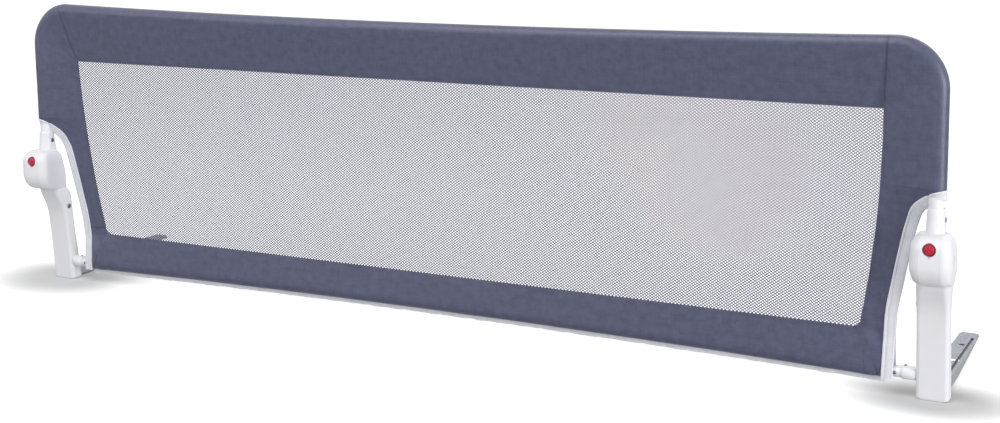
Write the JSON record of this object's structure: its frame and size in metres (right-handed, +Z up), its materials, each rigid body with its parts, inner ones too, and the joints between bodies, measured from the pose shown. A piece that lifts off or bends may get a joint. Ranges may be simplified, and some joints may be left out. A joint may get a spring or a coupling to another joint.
{
  "type": "folding bed guard rail",
  "caption": "Bed guard rail with a cloth-covered tube frame and a net window, on moulded hinge legs with release buttons and flat arms that go under the mattress.",
  "frame": {"origin": "on the surface the feet stand on, under the middle of the rail's overall box", "axes": "+X along the rail, +Y from the room towards the bed, +Z up"},
  "size_m": [1.3466, 0.2904, 0.42],
  "materials": {
    "white_plastic": "satin",
    "white_steel": "satin",
    "zinc": "galvanised",
    "screw_steel": "plated",
    "red_button": "satin",
    "cover_cloth": "plain weave",
    "net": "knitted net",
    "binding": "twill tape"
  },
  "bodies": {
    "legs": {"bottom_tube": "white_steel", "cover_lower": "cover_cloth", "binding_lower": "binding", "net_lower": "net", "leg_casing_left": "white_plastic", "leg_back_left": "white_plastic", "leg_screw_left": "screw_steel", "bed_arm_left": "zinc", "pivot_pin_left": "screw_steel", "ferrule_left": "white_plastic", "ferrule_screw_left": "white_plastic", "cover_stud_left": "screw_steel", "leg_casing_right": "white_plastic", "leg_back_right": "white_plastic", "leg_screw_right": "screw_steel", "bed_arm_right": "zinc", "pivot_pin_right": "screw_steel", "ferrule_right": "white_plastic", "ferrule_screw_right": "white_plastic", "cover_stud_right": "screw_steel"},
    "frame": {"top_tube": "white_steel", "cover_upper": "cover_cloth", "net_upper": "net", "knuckle_left": "white_plastic", "neck_bolt_left": "screw_steel", "corner_tube_left": "white_steel", "binding_upper_left": "binding", "knuckle_right": "white_plastic", "neck_bolt_right": "screw_steel", "corner_tube_right": "white_steel", "binding_upper_right": "binding"},
    "button_left": {"button_left": "red_button"},
    "button_right": {"button_right": "red_button"}
  },
  "joints": [
    {"name": "frame_fold", "type": "hinge", "parent": "legs", "child": "frame", "pos_m": [0, -0.11975, 0.173], "axis": [1, 0, 0], "range_deg": [0, 180]},
    {"name": "button_left_press", "type": "slide", "parent": "frame", "child": "button_left", "axis": [0, 1, 0], "range_m": [0, 0.004], "stiffness_N_per_m": 400, "springref_m": -0.003},
    {"name": "button_right_press", "type": "slide", "parent": "frame", "child": "button_right", "axis": [0, 1, 0], "range_m": [0, 0.004], "stiffness_N_per_m": 400, "springref_m": -0.003}
  ]
}
